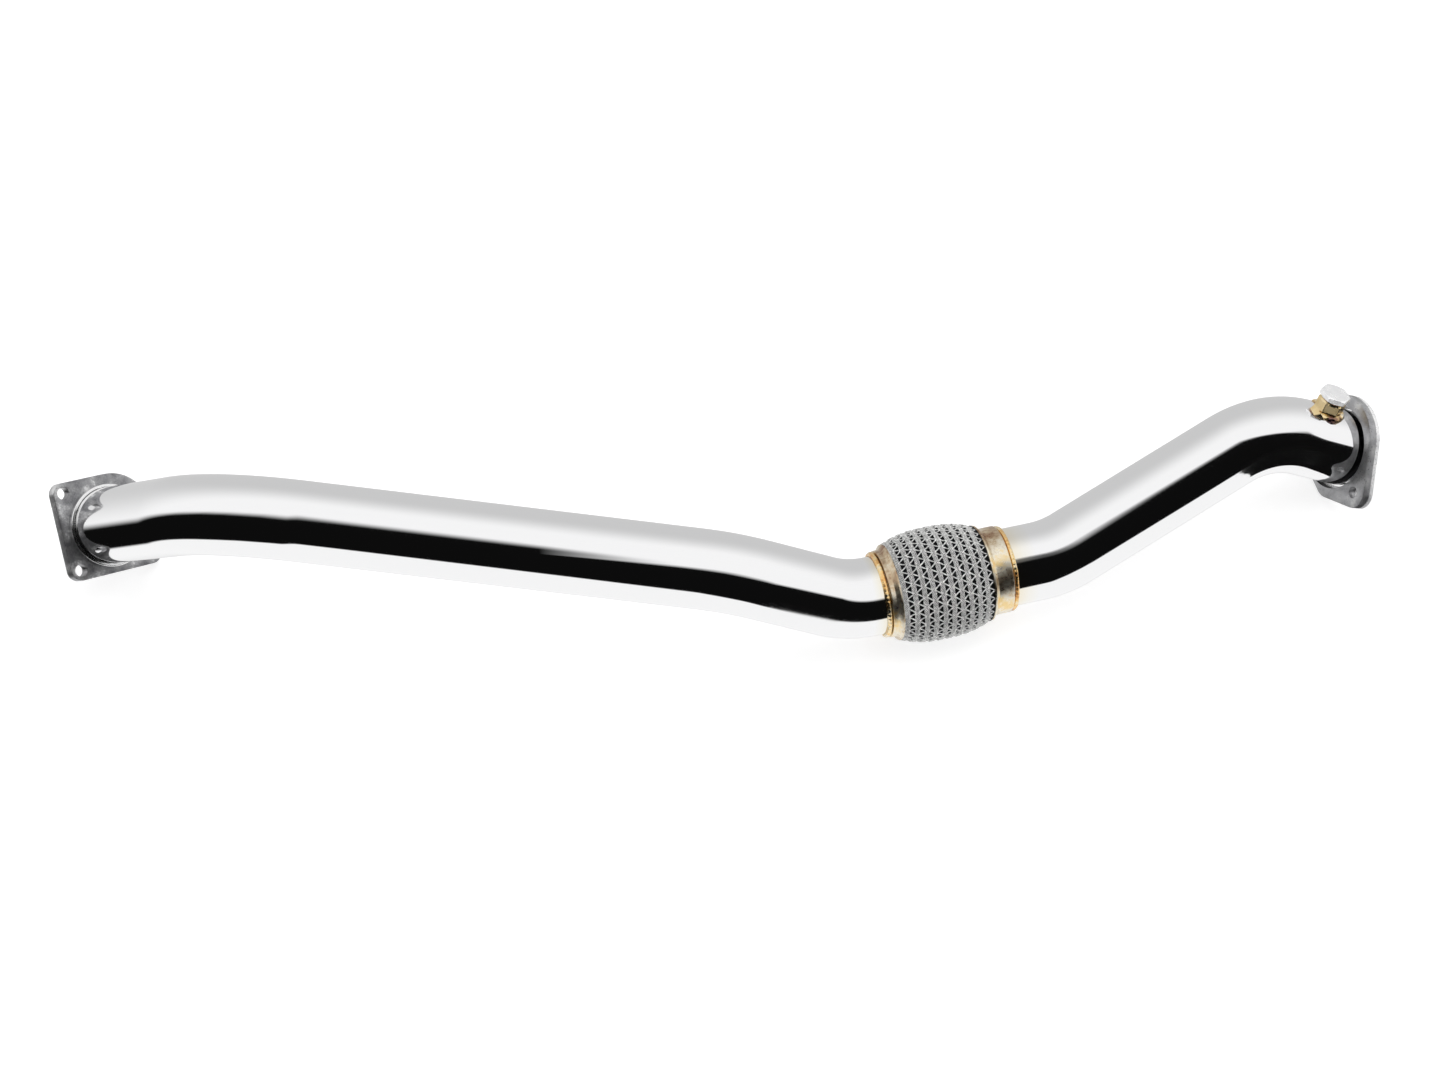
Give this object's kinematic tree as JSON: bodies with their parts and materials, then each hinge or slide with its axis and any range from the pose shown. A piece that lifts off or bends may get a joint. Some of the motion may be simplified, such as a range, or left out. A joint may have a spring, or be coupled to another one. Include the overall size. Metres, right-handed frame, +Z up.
{
  "type": "turbo downpipe",
  "caption": "Bent polished exhaust pipe with a braided flexible joint, a square bolt flange at one end, an eared round flange at the other and a plugged sensor boss.",
  "frame": {"origin": "centre of the bounding box on the floor the pipe lies on", "axes": "+X along the pipe's length, from the square outlet flange to the eared turbo flange; +Z up as the pipe lies at rest; +Y away from the picture's viewer"},
  "size_m": [1.0964, 0.2586, 0.1854],
  "materials": {
    "polished_pipe": "mirror polished stainless tube",
    "ground_plate": "ground steel plate",
    "brushed_plate": "brushed steel plate",
    "knitted_wire": "knitted stainless wire",
    "tinted_steel": "polished steel with a tan heat tint",
    "straw_weld": "weld bead with straw and purple tint",
    "inner_steel": "plain steel",
    "gold_bung": "steel with a gold heat tint",
    "plated_plug": "bright plated steel",
    "copper": "plain copper"
  },
  "bodies": {
    "root": {"outlet_pipe": "polished_pipe", "outlet_flange": "ground_plate", "outlet_collar": "polished_pipe", "outlet_flange_weld": "straw_weld", "flex_cap_outlet": "tinted_steel", "flex_cap_turbo": "tinted_steel", "flex_braid": "knitted_wire", "flex_bellows": "inner_steel", "flex_liner": "inner_steel", "flex_weld_outlet": "straw_weld", "flex_weld_turbo": "straw_weld", "turbo_pipe": "polished_pipe", "turbo_flange": "brushed_plate", "turbo_flange_weld": "straw_weld", "sensor_bung": "gold_bung", "bung_weld": "straw_weld", "plug_gasket": "copper", "bung_plug": "plated_plug"}
  },
  "joints": []
}
